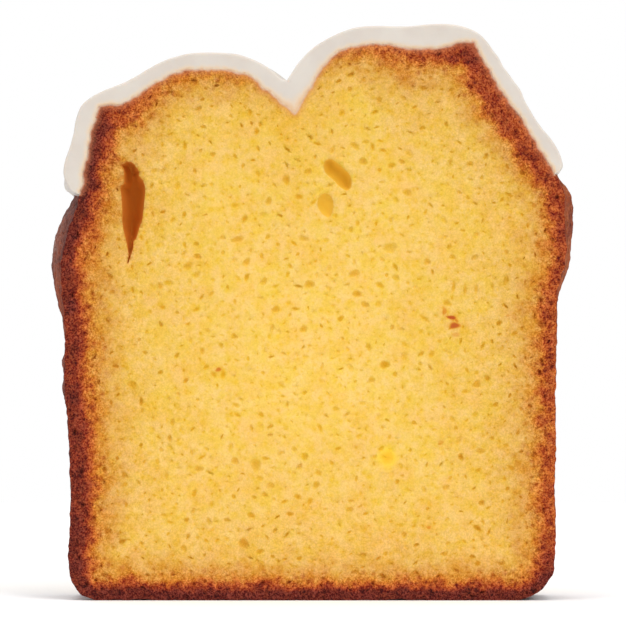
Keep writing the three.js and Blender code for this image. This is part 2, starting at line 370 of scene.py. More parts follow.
# The rings that a pore of each detail is built from, as (share, points)
PORE_RINGS = {
    "large": ((1.12, 12), (1.0, 12), (0.85, 12), (0.55, 8), (0.25, 4)),
    "full": ((1.16, 8), (1.0, 8), (0.78, 8), (0.4, 4)),
    "plain": ((1.0, 6), (0.65, 5)),
    "dot": ((1.0, 5),),
}
BACK_SHARE = 0.27  # the back cut is plainer, with this share of the pores
PORE_SWELL = 1.25  # an uneven pore reaches no farther than this times its half length
PORE_DEPTH = 0.7  # of a large pore, for each millimetre of its half width
WAVE_DRAW = 6.28  # the waves of a listed pore are drawn up to this angle
PORE_TRIES = 9  # the places tried for each scattered pore
PORE_CELL = 2  # size of the squares in which near pores are looked for
RIM_CLEAR = 0.25  # between a scattered pore and the skin
CAVITY_CLEAR = 0.5  # between a scattered pore's middle and a hole
TAKEN_SPAN, TAKEN_CLEAR = 0.6, 0.8  # how far out a large pore keeps others off, and how far from there
SQUEEZE_REACH = 9.0  # how far in from the skin the pores are squeezed along it
HUMP_LEVEL, HUMP_FADE = 105, 15  # up to where squeezed pores are darker, and over how much that fades

# Zest in the front cut: x, z, half length, half width, turn in degrees, how far it stands out of the crumb,
# and how red it is
ZEST = (
    (27.7, 56.6, 1.0, 0.45, -15, 0.12, 1.0),
    (28.3, 55.0, 1.0, 0.75, 15, 0.16, 0.9),
    (28.7, 56.0, 0.5, 0.3, -50, 0.12, 0.6),
    (26.3, 57.9, 0.75, 0.5, -75, 0.06, 0.5),
    (28.6, 53.2, 0.8, 0.6, 0, 0.03, 0.3),
    (39.0, 57.0, 0.4, 0.3, 0, 0.03, 0.3),
    (-18.9, 46.2, 0.7, 0.4, 10, 0.05, 0.7),
    (23.2, 14.6, 0.45, 0.35, 0, 0.05, 0.5),
    (25.6, 31.6, 0.6, 0.5, 0, 0.02, 0.3),
)
# Where candied peel has stained the crumb a strong yellow
PEEL = np.array([14.9, 28.6])
PEEL_REACH = 1.9
PEEL_SEED = 71


def pore_from(loop, rng):
    """The pore that a small loop of the frame's section stands for."""
    centre = loop.mean(axis=0)
    spread = loop - centre
    _, axes = np.linalg.eigh(spread.T @ spread)
    long, short = axes[:, 1], axes[:, 0]
    half = np.array([np.abs(spread @ long).max(), np.abs(spread @ short).max()])
    turn = math.atan2(long[1], long[0])
    depth = PORE_DEPTH * half[1] * rng.uniform(0.8, 1.1)
    return Pore(centre, half, turn, depth, rng.uniform(0.5, 0.9), rng.uniform(0, 2 * math.pi, 3))


def set_pore(shape, depth, shade, rng):
    """A pore whose shape is given: x, z, half length, half width, turn in degrees."""
    x, z, long, short, turn = shape
    waves = rng.uniform(0, WAVE_DRAW, 3)
    return Pore(np.array([x, z]), np.array([long, short]), math.radians(turn), depth, shade, waves)


def landmark_pores(rng):
    return [set_pore(row[:5], PORE_DEPTH * row[3], row[5], rng) for row in LANDMARK_PORES]


def zest_bits(rng):
    return [set_pore(row[:5], -row[5], row[6], rng) for row in ZEST]


def scatter_pores(line, rng, share, taken, cavities):
    """Pores spread over a cut face inside a line, which keep off the pores and cavities that are there."""
    low, high = line.min(axis=0), line.max(axis=0)
    cells = {}
    pores = []

    def cell_of(centre):
        return tuple((centre // PORE_CELL).astype(int))

    def crowded(centre, apart):
        column, row = cell_of(centre)
        near = [cells.get((column + i, row + j), ()) for i in (-1, 0, 1) for j in (-1, 0, 1)]
        return any(math.dist(centre, other) < max(apart, gap) for cell in near for other, gap in cell)

    def hold(centre, apart):
        cells.setdefault(cell_of(centre), []).append((centre, apart))

    for pore in taken:
        for angle in np.linspace(0, 2 * math.pi, 8, endpoint=False):
            span = TAKEN_SPAN * pore.half.max()
            hold(pore.centre + span * np.array([math.cos(angle), math.sin(angle)]), TAKEN_CLEAR)
    for detail, count, least, most, apart in PORE_KINDS:
        tries = rng.uniform(low, high, (count * PORE_TRIES, 2))
        tries = tries[inside(tries, line)]
        for cavity in cavities:
            tries = tries[nearest(tries, cavity.outline)[0] > CAVITY_CLEAR]
            tries = tries[~inside(tries, cavity.outline)]
        gaps, places = nearest(tries, line)
        made = 0
        for centre, gap, place in zip(tries, gaps, places):
            wide = rng.uniform(least, most)
            draws = rng.uniform(0, 1, 7)
            if gap < wide + RIM_CLEAR or crowded(centre, apart):
                continue
            along = line[(place + 1) % len(line)] - line[place]
            squeezed = math.exp(-gap / SQUEEZE_REACH)
            turn = math.atan2(along[1], along[0]) + (1 - 0.75 * squeezed) * math.pi * (draws[0] - 0.5)
            narrow = 0.45 + 0.5 * draws[1] - 0.15 * squeezed
            half = np.array([wide * (1.0 + 0.45 * draws[2]), wide * narrow]) * (1 - 0.3 * squeezed)
            depth = wide * (0.2 + 0.5 * draws[3]) * (1 + 0.4 * squeezed)
            darker = 0.6 * squeezed * min(1.0, max(0.0, (HUMP_LEVEL - centre[1]) / HUMP_FADE))
            shade = min(1.0, 0.4 + 0.75 * draws[4] ** 2 + darker)
            pores.append((detail, Pore(centre, half, turn, depth, shade, draws[4:] * 2 * math.pi)))
            hold(centre, apart * 0.8)
            made += 1
            if made >= count * share:
                break
    return pores


# ---- browning
# The browning along the outline, anticlockwise from the left of the base: x, z, how brown it is there, how
# far in that stays even, and how fast it fades. The left wall is darkest, and the split palest.
TOASTS = (
    (-30, 0, 1.18, 1.1, 2.4),
    (0, 0, 1.18, 1.0, 2.4),
    (30, 0, 1.18, 1.1, 2.4),
    (47, 3, 0.94, 1.4, 3.4),
    (48.6, 14, 0.56, 1.8, 3.5),
    (48.4, 36, 0.54, 2.0, 3.5),
    (48.7, 58, 0.54, 1.8, 3.5),
    (51.2, 75, 0.7, 1.4, 2.9),
    (47, 88, 0.62, 3.0, 2.7),
    (41, 97.5, 0.62, 3.8, 2.6),
    (36, 105, 0.62, 4.0, 2.6),
    (32.1, 111.5, 0.78, 3.4, 2.6),
    (24, 111, 0.58, 1.8, 3.5),
    (15, 110.7, 0.5, 1.5, 3.8),
    (8, 110.8, 0.42, 0.9, 3.8),
    (1.4, 105.5, 0.24, 0.4, 3.0),
    (-3.4, 97.3, 0.06, 0, 3.0),
    (-9, 102, 0.24, 0.5, 3.0),
    (-16, 106, 0.35, 1.7, 3.4),
    (-26, 106, 0.38, 1.7, 3.3),
    (-33, 102.5, 0.45, 1.8, 3.2),
    (-38, 99.5, 0.52, 3.6, 3.8),
    (-42.7, 98.9, 0.82, 2.6, 3.2),
    (-45, 90, 0.92, 2.2, 3.4),
    (-46.8, 81, 0.92, 1.6, 3.6),
    (-50.8, 66, 0.85, 1.7, 4.0),
    (-49.3, 52, 0.79, 2.3, 3.7),
    (-49.3, 36, 0.81, 2.7, 3.6),
    (-48.5, 20, 0.81, 2.8, 3.6),
    (-48, 4, 0.88, 2.2, 3.3),
)
WARMTH, WARMTH_REACH = 0.18, 42.0  # the faint brown that reaches much farther in


def toast_along(line):
    """The peak, the even stretch and the fade of the browning at each point of an outline."""
    table = np.array(TOASTS)
    _, places = nearest(table[:, :2], line)
    at = np.arange(len(line))
    return [np.interp(at, places, column, period=len(line)) for column in table.T[2:]]


def browning(points, line, seed):
    """How brown the crumb is at points of a cut face, from 0 to about 1 in the darkest crust."""
    gaps, places = nearest(points, line)
    peak, even, fade = (value[places] for value in toast_along(line))
    warmth = WARMTH * np.clip(1 - gaps / WARMTH_REACH, 0, 1) * np.clip(2 * peak, 0.55, 1)
    # It reaches in unevenly
    gaps = gaps * (1 + 0.3 * rough(points, 3.2, seed)) + 0.65 * rough(points, 1.1, seed + 1)
    toasted = peak * np.exp(-np.clip(gaps - even, 0, None) / fade)
    return toasted + warmth * (1 - 0.6 * toasted)


# ---- cut faces of the cake
@dataclass
class Face:
    """A cut face: its points (x, z), how far in each lies, its triangles, and its material's values."""

    points: np.ndarray
    depth: np.ndarray
    triangles: np.ndarray
    values: dict


FILL_STEP = 1.05  # between the points of the plain crumb
CRUST_STEP = 0.52  # between those of the grainy crust
BACK_CRUST_STEP = 0.75  # the same in the plainer back cut
CRUST_BAND = 6.5  # how far in from the skin the crust's points go
EDGE_CLEAR = 0.28  # between the rim's points and all others
SOAK_REACH = 9.0  # how far syrup from the icing reaches below the split
FROST_REACH = 0.8  # how far the icing's white creeps over the crumb that it touches
CRUMB_RELIEF, GRAIN_RELIEF = 0.05, 0.03  # heights of the crumb's slow waves and of its grain
CRUST_RELIEF = 0.2  # how much more grain there is where the crumb is brownest
EDGE_ROUND, EDGE_REACH = 0.3, 0.8  # how far back the rim of a cut lies, and how far in from it that fades
ICED_ENDS = ((-46.8, 81.4), (47.6, 85.0))  # where the icing's hems end on the cake's outline


def make_face(line, pores, bits, cavities, split, seed):
    """The height field of a cut face, whose split is the place where the icing has soaked into the crumb."""
    rng = np.random.default_rng(seed)
    sets = [line]
    for detail, pore in pores + [("large", bit) for bit in bits]:
        sets += [pore.ring(share, count) for share, count in PORE_RINGS[detail]] + [pore.centre[None]]
    for cavity in cavities:
        sets += cavity.rings()
    sets.append(fill_points(line, pores, cavities, rng, CRUST_STEP if bits else BACK_CRUST_STEP))
    points = np.vstack(sets)
    keep = (nearest(points, line)[0] > EDGE_CLEAR) & inside(points, line)
    keep[: len(line)] = True
    points, triangles = triangulated(points[keep], len(line))

    brown = browning(points, line, seed + 2)
    grain = (GRAIN_RELIEF + CRUST_RELIEF * brown) * rough(points, 1.2, seed + 1)
    depth = CRUMB_RELIEF * rough(points, 2.4, seed) + grain
    # The cut rounds off into the bare skin
    edge, places = nearest(points, line)
    iced = iced_share(line)[places]
    rounding = EDGE_ROUND * (1 - iced) * np.clip(1 - edge / EDGE_REACH, 0, 1) ** 2
    depth = depth * np.minimum(edge, 1) + rounding
    values = {name: np.zeros(len(points)) for name in ("pore", "zest", "tunnel", "oval")}
    tree = tree_of(points)
    # The colours of pores and zest fade out about a quarter beyond their rims
    for _, pore in pores:
        near = within(tree, pore.centre, pore.reach())
        share = pore.share_at(points[near])
        depth[near] += pore.depth * np.clip(1 - share**2, 0, 1) ** 0.8
        shade = pore.shade * np.clip(1.5 - 1.2 * share, 0, 1)
        values["pore"][near] = np.maximum(values["pore"][near], shade)
    for bit in bits:
        near = within(tree, bit.centre, 1.5 * bit.reach())
        share = bit.share_at(points[near])
        depth[near] = depth[near] * np.minimum(share, 1) + bit.depth * np.clip(1 - share**2, 0, 1)
        shade = bit.shade * np.clip(2.2 - 1.8 * share, 0, 1)
        values["zest"][near] = np.maximum(values["zest"][near], shade)
    for cavity in cavities:
        deep = cavity.depth_at(points)
        depth = np.maximum(depth, deep)
        values[cavity.name] = np.maximum(values[cavity.name], deep / cavity.full)
    uneven = 1 + 0.35 * rough(points, 1.6, PEEL_SEED)
    peel = np.linalg.norm((points - PEEL) * uneven[:, None], axis=1) / PEEL_REACH
    values["brown"] = brown
    values["peel"] = np.exp(-(peel**2)) * bool(bits)
    values["soak"] = np.exp(-((np.linalg.norm(points - split, axis=1) / SOAK_REACH) ** 1.5))
    values["frost"] = iced * np.exp(-edge / FROST_REACH)
    return Face(points, depth, triangles, values)


def iced_share(line):
    """1 for the points of a cake's outline that lie under the icing, otherwise 0."""
    _, (left, right) = nearest(ICED_ENDS, line)
    place = (np.arange(len(line)) - right) % len(line)
    return (place <= (left - right) % len(line)).astype(float)


def fill_points(line, pores, cavities, rng, crust_step):
    """Points between the pores, on a shaken grid that is finer in the crust."""
    low, high = line.min(axis=0), line.max(axis=0)
    kept = []
    for step, nearer, farther in ((crust_step, 0, CRUST_BAND), (FILL_STEP, CRUST_BAND, math.inf)):
        columns = (np.arange(a, b, step) for a, b in zip(low, high))
        grid = np.stack(np.meshgrid(*columns), axis=-1).reshape(-1, 2)
        grid += rng.uniform(-0.3, 0.3, grid.shape) * step
        grid = grid[inside(grid, line)]
        gaps, _ = nearest(grid, line)
        kept.append(grid[(gaps >= nearer) & (gaps < farther)])
    grid = np.vstack(kept)
    free = np.ones(len(grid), bool)
    for cavity in cavities:
        free &= ~inside(grid, cavity.outline) | (cavity.depth_at(grid) > 0.7 * cavity.walls[-1][1])
    tree = tree_of(grid)
    for _, pore in pores:
        near = within(tree, pore.centre, pore.reach() + 0.2)
        free[near] &= pore.share_at(grid[near]) > 1.25
    return grid[free]


def triangulated(points, rim_count):
    """The points and the triangles between them inside their first rim_count points, which are the rim."""
    rim = list(range(rim_count))
    coords = [Vector(p) for p in points]
    inside_only, merged_within = 1, 1e-5
    result = delaunay_2d_cdt(coords, [], [rim], inside_only, merged_within)
    places, _, triangles, sources = result[:4]
    # The rim's points come first again
    first = {source: new for new, group in enumerate(sources) for source in group if source < rim_count}
    order = [first[index] for index in rim]
    order += sorted(set(range(len(places))) - set(order))
    renumber = np.empty(len(places), int)
    renumber[order] = np.arange(len(places))
    triangles = np.array([t for t in triangles if len(t) == 3])
    return np.array([tuple(places[index]) for index in order]), renumber[triangles]


# ---- meshes
MAP_WIDTH = 2.1  # of the map OFBake, in widths of the cake
MAP_MARGIN = 2  # left and below each face in it, in mm
MAP_BAND = 0.62, 0.98  # where it has the strip between the faces


def linked(name, data):
    """A new object in the scene."""
    thing = bpy.data.objects.new(name, data)
    bpy.context.scene.collection.objects.link(thing)
    return thing


def make_piece(name, vertices, triangles, uvs=None, values=None, slots=None):
    """An object with smooth triangles. Its vertices are in mm, and uvs has one place for each corner."""
    mesh = bpy.data.meshes.new(name)
    mesh.from_pydata(vertices * MM, [], triangles)
    mesh.shade_smooth()
    if uvs is not None:
        mesh.uv_layers.new(name="OFBake").data.foreach_set("uv", uvs.ravel())
    for value_name, value in (values or {}).items():
        mesh.attributes.new(value_name, "FLOAT", "POINT").data.foreach_set("value", value)
    if slots is not None:
        mesh.polygons.foreach_set("material_index", slots)
    mesh.update()
    return linked(name, mesh)


def strip(rings):
    """The triangles between closed rings of equal counts, which run from the front cut to the back one."""
    triangles = []
    for near, far in zip(rings, rings[1:]):
        near_next, far_next = np.roll(near, -1), np.roll(far, -1)
        triangles.append(np.column_stack([near, far, far_next]))
        triangles.append(np.column_stack([near, far_next, near_next]))
    return np.vstack(triangles)


def flat_uv(points, left):
    """The place of a cut face's points in the map, whose lower part the two faces share."""
    size = (HIGH - LOW)[0] * MAP_WIDTH
    across = left + (points[:, 0] - LOW[0] + MAP_MARGIN) / size
    return np.column_stack([across, (points[:, 1] + MAP_MARGIN) / size])


def strip_uv(rows, count):
    """The map's upper band for a strip of rows of count points, a place for each corner of its triangles."""
    here = np.arange(count) / count
    onward = (np.arange(count) + 1) / count
    across = np.linspace(*MAP_BAND, rows)
    places = []
    for low, high in zip(across, across[1:]):
        one = ((here, low), (here, high), (onward, high))
        two = ((here, low), (onward, high), (onward, low))
        for corners in (one, two):
            each = [np.column_stack([u, np.full(count, v)]) for u, v in corners]
            places.append(np.stack(each, axis=1).reshape(-1, 2))
    return np.vstack(places)


def capped_strip(front, back, low, high, rows):
    """A closed mesh of two cut faces, at the depths low and high, and of the strip's rings between them.

    It returns the vertices, the triangles, a place in the map for each corner, and where the vertices of the
    back face and of the strip start. Each face starts with its rim.
    """
    count = len(rows[0])
    faces = [placed(front.points, low + front.depth), placed(back.points, high - back.depth)]
    back_start = len(front.points)
    strip_start = back_start + len(back.points)
    rings = [np.arange(count)]
    rings += [strip_start + row * count + np.arange(count) for row in range(len(rows))]
    rings.append(back_start + np.arange(count))
    flipped = back.triangles[:, ::-1]
    triangles = np.vstack([front.triangles, flipped + back_start, strip(rings)])
    uvs = [flat_uv(front.points, 0)[front.triangles.ravel()], flat_uv(back.points, 0.5)[flipped.ravel()]]
    uvs.append(strip_uv(len(rings), count))
    return np.vstack([*faces, *rows]), triangles, np.vstack(uvs), (back_start, strip_start)


# ---- the cake
FRONT_SEED, BACK_SEED = 11, 23
RAGGED = 0.36  # how far the edge of a cut strays
SKIN_RELIEF = 0.3  # how far the skin between the cuts does
SKIN_BUMPS = ((0.8, 3.1, 5), (0.9, 1.2, 6))  # the height, width and seed of each layer of that
SHEEN_SPOTS = ((-51.2, 73.0, 7.5), (-50.6, 45.0, 3.2))  # where a pale grey sheen is painted on the skin, a painted reflection of the bright room: x, z, and how far around that
SHEEN_DEPTH = 12.0  # how far behind the front cut the painted sheen is strongest
PORE_INSET = 0.05  # how far behind a cut the solid's pores are looked for
LEAST_PORE, MOST_PORE = 0.25, 6  # areas of the solid's pores that are taken over
LARGE_APART = 2  # between those and the listed ones
SPLIT_SIDE, SPLIT_LEVEL = 12, 80  # the split lies within this of the middle, and above this level

# Where an outline moves outwards: x, z, how far around that, and by how much at the front cut and behind it
CAKE_NUDGES = (
    (-48.4, 77, 4.5, -0.35, 0.1),
    (-50.2, 70, 4.5, -0.4, 0.1),
    (-50.4, 60.5, 4.0, 0.1, 0.7),
    (-49.6, 54.5, 4.0, 0.2, 0.5),
    (-49.2, 44, 6.0, 0.3, 0.3),
    (50.6, 81, 3.5, 0.2, 0.9),
    (51.2, 72.5, 3.5, -0.3, -0.5),
    (49.3, 65.5, 3.0, 0.3, 0.5),
    (48.6, 52, 8.0, 0.3, 0.3),
    (48.4, 34, 8.0, 0.3, 0.3),
    (48.4, 18, 7.0, 0.2, 0.2),
    (50.6, 76.5, 4.5, -0.7, 0.0),
    (15, 110.9, 5.0, 0.4, 0.4),
    (26.5, 111.2, 2.2, -0.6, 0.0),
    (30.5, 111.6, 2.5, 0.25, 0.25),
    (-50.2, 47.6, 2.0, 0.1, 0.9),
    (-50.2, 42.2, 2.4, 0.0, 0.8),
)
ICING_NUDGES = (
    (-5.5, 104.3, 2.6, -0.5, -0.4),
    (35.5, 109.8, 1.6, -0.3, 0.0),
    (38.2, 107.2, 1.6, -0.3, 0.0),
    (41.3, 102.2, 1.8, 0.3, 0.2),
    (46.2, 95.2, 3.0, -0.3, -0.1),
    (-49.2, 88, 4.0, 0.35, -0.35),
    (-49.9, 82.6, 1.9, -0.6, -1.3),
    (50.2, 86.2, 1.2, 0.5, 0.2),
)
NUDGE_FADE = 0.3  # the share of the thickness over which a nudge turns from one amount to the other


def nudged(line, normals, share, nudges):
    """A line moved along its normals by nudges, at a share of the way from the front cut to the back one."""
    moves = []
    for x, z, reach, front, behind in nudges:
        gaps = np.linalg.norm(line - (x, z), axis=1)
        amount = front + (behind - front) * min(1.0, share / NUDGE_FADE)
        moves.append(amount * np.exp(-((gaps / reach) ** 2)))
    return line + normals * sum(moves)[:, None]


def outlines_through(node):
    """The smooth outlines of a node at even depths from cut to cut, with their points matched."""
    mesh = welded(node)
    corners = counts = None
    lines = []
    for depth in DEPTHS:
        line, corners, counts = smooth_outline(loops_at(mesh, depth)[0], corners, counts)
        lines.append(line)
    mesh.free()
    return np.array(lines)


def between(lines, share):
    """The outline at a share of the way from the front cut to the back one."""
    at = share * (len(lines) - 1)
    low = min(int(at), len(lines) - 2)
    return lines[low] + (lines[low + 1] - lines[low]) * (at - low)


def skin_rings(lines):
    """The rings of points around the cake, from cut to cut, with the relief of its baked skin."""
    rings = []
    for share in np.linspace(0, 1, SKIN_ROWS + 1):
        line = between(lines, share)
        line = nudged(line, outward(line), share, CAKE_NUDGES)
        places = placed(line, FRONT + share * THICKNESS)
        relief = SKIN_RELIEF if 0 < share < 1 else RAGGED
        moved = line + outward(line) * (relief * layered(places, SKIN_BUMPS))[:, None]
        moved[:, 1] = np.maximum(moved[:, 1], 0)
        rings.append(moved)
    return rings


def cake_face(line, loops, cavities, share, split, seed):
    """A cut face of the cake with a share of the pores. The front one, with cavities, has the listed marks.
    """
    rng = np.random.default_rng(seed)
    large = landmark_pores(rng) if cavities else []
    for loop in loops:
        middle = loop.mean(axis=0)
        gap = min((math.dist(middle, pore.centre) for pore in large), default=math.inf)
        in_hole = any(inside(middle[None], cavity.outline)[0] for cavity in cavities)
        if LEAST_PORE < area(loop) < MOST_PORE and gap > LARGE_APART and not in_hole:
            large.append(pore_from(loop, rng))
    pores = [("large", pore) for pore in large] + scatter_pores(line, rng, share, large, cavities)
    return make_face(line, pores, zest_bits(rng) if cavities else [], cavities, split, seed)


def make_cake(rings):
    mesh = welded("cake")
    front_loops = loops_at(mesh, FRONT + PORE_INSET)[1:]
    back_loops = loops_at(mesh, BACK - PORE_INSET)[1:]
    mesh.free()
    cavities = [Cavity(name, rounded(line, times), walls, full) for name, line, times, walls, full in HOLES]
    split = lowest_split(rings[0])
    front = cake_face(rings[0], front_loops, cavities, 1.0, split, FRONT_SEED)
    back = cake_face(rings[-1], back_loops, [], BACK_SHARE, split, BACK_SEED)
    depths = np.linspace(0, 1, SKIN_ROWS + 1) * THICKNESS + FRONT
    rows = [placed(ring, depth) for ring, depth in zip(rings[1:-1], depths[1:-1])]
    vertices, triangles, uvs, starts = capped_strip(front, back, FRONT, BACK, rows)

    on_skin = np.zeros(len(vertices) - starts[1])
    values = {key: np.concatenate([front.values[key], back.values[key], on_skin]) for key in front.values}
    values["brown"][starts[1] :] = np.tile(toast_along(rings[0])[0], SKIN_ROWS - 1)
    # A pale grey sheen on the skin of the left lip, a painted reflection, strongest well behind the front
    # cut
    behind = np.clip((vertices[:, 1] - FRONT) / SHEEN_DEPTH, 0, 1)
    values["painted_sheen"] = np.zeros(len(vertices))
    for x, z, reach in SHEEN_SPOTS:
        gaps = np.linalg.norm(vertices[:, [0, 2]] - (x, z), axis=1)
        values["painted_sheen"] += behind * np.exp(-((gaps / reach) ** 2))
    flat = len(front.triangles) + len(back.triangles)
    slots = np.repeat([0, 1], [flat, len(triangles) - flat]).astype(np.int32)
    piece = make_piece("cake_slice", vertices, triangles, uvs, values, slots)
    sharpen_rims(piece, len(rings[0]), starts[0])
    return piece


def rounded(outline, passes):
    """An anticlockwise line through given points, its corners rounded by passes of smoothing."""
    line = np.array(outline)
    fine = spaced(line, 2 * round(line_length(line) / OUTLINE_STEP), closed=True)
    return anticlockwise(softened(fine, closed=True, passes=passes))


def lowest_split(line):
    """Where the split between the two humps is deepest."""
    near = (np.abs(line[:, 0]) < SPLIT_SIDE) & (line[:, 1] > SPLIT_LEVEL)
    return line[np.argmin(np.where(near, line[:, 1], math.inf))]


def sharpen_rims(piece, count, back_start):
    """Marks the edges between the skin and the two cuts as sharp."""
    mesh = piece.data
    ends = np.empty(len(mesh.edges) * 2, np.int32)
    mesh.edges.foreach_get("vertices", ends)
    ends = ends.reshape(-1, 2)
    sharp = np.zeros(len(ends), bool)
    for start in (0, back_start):
        on_rim = ((ends >= start) & (ends < start + count)).all(axis=1)
        steps = np.abs(ends[:, 0] - ends[:, 1])
        sharp |= on_rim & ((steps == 1) | (steps == count - 1))
    mesh.attributes.new("sharp_edge", "BOOLEAN", "EDGE").data.foreach_set("value", sharp)


# ---- the icing
ICING_SEEDS = 41, 42  # of the front cut and the back one
ICING_STEP = 0.5  # between the points of its outline
ICING_CLEAR = 0.3  # between those and the other points of its cuts
ICING_TUCK = 0.3  # how far the icing reaches into the cake, so that no gap shows between them
ICING_EDGE = 0.35  # radius of the poured surface's edges at the two cuts
ICING_PROUD = 0.04  # how far its cut stands in front of the crumb's
ICING_DIP = 0.2  # how far its tucked rim lies behind the crumb's face
ICING_ROWS = 16  # rows of faces between its rounded edges
EDGE_ROWS = 4  # rows of faces around each of those
ICING_SWELLS = ((0.14, 7, 31), (0.08, 2.2, 32))  # the height, width and seed of each layer of its swells
CUT_WAVES = 0.05, 3  # height and width of the waves in the icing's cuts
TUCK_WIDTH = 0.5  # over which a cut goes from standing proud to being tucked in
POURED_GAP = 0.7  # the poured surface is farther than this from the cake
ICING_SOAK = 0.5  # width of the stained line where icing and cake meet
SOAK_STRAY = 0.2, 1.0, 51  # how far that line strays, how wide its waves are, and their seed
SPLIT_SOAK, SPLIT_SOAK_REACH = 1.3, 4.0  # how much wider it is in the split, and how far around that
HEM_REACH = 12.0  # how far up from a hem the line moves with it
LEFT_RISE, RIGHT_RISE = (0.17, 1), (-0.58, 1)  # the way up the slopes that the hems lie on


def poured_line(icing_loop, cake_line):
    """The icing's poured surface in one section, from its left hem to its right one."""
    fine = spaced(icing_loop, round(line_length(icing_loop) / FINE_STEP), closed=True)
    poured = nearest(fine, dense(cake_line, 4))[0] > POURED_GAP
    start = next(i for i in range(len(fine)) if poured[i] and not poured[i - 1])
    poured, fine = np.roll(poured, -start), np.roll(fine, -start, axis=0)
    runs = np.flatnonzero(~poured)
    run = fine[: runs[0]] if len(runs) else fine
    return run if run[0, 0] < run[-1, 0] else run[::-1]


def raised(poured, hems):
    """The poured line with neither of its hems lower than those of the front cut."""
    for end, height, rise in ((0, hems[0], LEFT_RISE), (-1, hems[1], RIGHT_RISE)):
        lift = max(0.0, height - poured[end, 1])
        gaps = np.linalg.norm(poured - poured[end], axis=1)
        poured = poured + np.array(rise) * (lift * np.clip(1 - gaps / HEM_REACH, 0, 1) ** 1.5)[:, None]
    return poured


def icing_section(poured, cake_line, hems, share, counts=None):
    """The icing's outline in one section, and the counts of its two poured stretches and of its back."""
    poured = raised(poured, hems)
    _, (left, right) = nearest(poured[[0, -1]], cake_line)
    inner = cake_line - outward(cake_line) * ICING_TUCK
    backed = np.roll(inner, -right, axis=0)[: (left - right) % len(inner) + 1]
    first, last = len(poured) // 4, 3 * len(poured) // 4
    split = first + np.argmin(poured[first:last, 1])
    left_hump = np.vstack([cake_line[left], poured[: split + 1]])
    right_hump = np.vstack([poured[split:], cake_line[right]])
    stretches = []
    for hump in (left_hump, right_hump):
        line = softened(spaced(hump, round(line_length(hump) / 2 / FINE_STEP)))
        along = np.gradient(line, axis=0)
        normals = np.column_stack([-along[:, 1], along[:, 0]]) / np.linalg.norm(along, axis=1)[:, None]
        stretches.append(nudged(line, normals, share, ICING_NUDGES))
    stretches.append(backed)
    counts = counts or [round(open_length(stretch) / ICING_STEP) for stretch in stretches]
    return joined_up(stretches, counts)[::-1], counts


def icing_lines(cake_lines, plain_lines):
    """The icing's outlines from cut to cut, and 1 for those of their points that were poured, or else 0."""
    mesh = welded("icing")
    hems = counts = None
    lines = []
    for share, depth, cake_line, plain in zip(SHARES, DEPTHS, cake_lines, plain_lines):
        poured = poured_line(loops_at(mesh, depth)[0], plain)
        hems = hems or tuple(poured[[0, -1], 1])
        line, counts = icing_section(poured, cake_line, hems, share, counts)
        lines.append(line)
    mesh.free()
    return np.array(lines), (np.arange(len(line))[::-1] < counts[0] + counts[1]).astype(float)


def icing_face(ring, cake_line, seed):
    """A cut face of the icing. It tucks in behind the crumb's face where it meets the cake."""
    fill = fill_points(ring, [], [], np.random.default_rng(seed), CRUST_STEP)
    fill = fill[nearest(fill, ring)[0] > ICING_CLEAR]
    points, triangles = triangulated(np.vstack([ring, fill]), len(ring))
    depth = layered(points, [(*CUT_WAVES, seed)])
    depth[: len(ring)] = 0
    gaps, _ = nearest(points, dense(cake_line, 3))
    outside = np.where(inside(points, cake_line), -gaps, gaps)
    depth += (ICING_DIP + ICING_PROUD) * np.clip(0.5 - outside / TUCK_WIDTH, 0, 1)
    return Face(points, depth, triangles, {"soak": soak_at(points, cake_line, gaps)})


def make_icing(cake_lines, plain_lines):
    """The icing on the cake's finished outlines. The frame's plain ones tell what was poured."""
    lines, poured = icing_lines(cake_lines, plain_lines)
    low, high = FRONT - ICING_PROUD, BACK + ICING_PROUD
    angles = np.linspace(0, math.pi / 2, EDGE_ROWS + 1)[:-1]
    insets = [ICING_EDGE * (1 - math.cos(angle)) for angle in angles]
    rings = [(edge_ring(lines[0], poured, angle), low + inset) for angle, inset in zip(angles, insets)]
    for share in np.linspace(0, 1, ICING_ROWS + 1):
        rings.append((between(lines, share), low + ICING_EDGE + share * (high - low - 2 * ICING_EDGE)))
    for angle, inset in zip(angles[::-1], insets[::-1]):
        rings.append((edge_ring(lines[-1], poured, angle), high - inset))
    swollen = []
    for ring, depth in rings:
        places = placed(ring, depth)
        swell = layered(places, ICING_SWELLS) * poured
        swollen.append((ring + outward(ring) * swell[:, None], depth))
    front = icing_face(swollen[0][0], cake_lines[0], ICING_SEEDS[0])
    back = icing_face(swollen[-1][0], cake_lines[-1], ICING_SEEDS[1])
    rows = [placed(*ring) for ring in swollen[1:-1]]
    vertices, triangles, uvs, starts = capped_strip(front, back, low, high, rows)
    soak = np.zeros(len(vertices))
    soak[: starts[1]] = np.concatenate([front.values["soak"], back.values["soak"]])
    return make_piece("icing_coat", vertices, triangles, uvs, {"soak": soak})


def edge_ring(line, poured, angle):
    """The icing's outline on the way round the soft edge of a cut, at an angle from 0 to a right one."""
    return line - outward(line) * (poured * ICING_EDGE * (1 - math.sin(angle)))[:, None]


def soak_at(points, cake_line, gaps):
    """How far cake shows through the icing's cut at gaps from the cake, from 1 where they meet to 0."""
    gaps = np.clip(gaps + layered(points, [SOAK_STRAY]), 0, None)
    from_split = np.linalg.norm(points - lowest_split(cake_line), axis=1)
    width = ICING_SOAK + SPLIT_SOAK * np.exp(-((from_split / SPLIT_SOAK_REACH) ** 2))
    return np.exp(-((gaps / width) ** 1.5))


# ---- materials
LIGHT = 1.15  # how bright the lamps make a white cut


def srgb(red, green, blue):
    """The colour that looks like an 8-bit sRGB one, none of it near black, in the studio's light."""
    linear = [((c / 255 + 0.055) / 1.055) ** 2.4 for c in (red, green, blue)]
    return (*(c / LIGHT for c in linear), 1.0)


def tint(red, green, blue):
    """A colour for other colours to be multiplied by, as shares of each."""
    return (red, green, blue, 1.0)


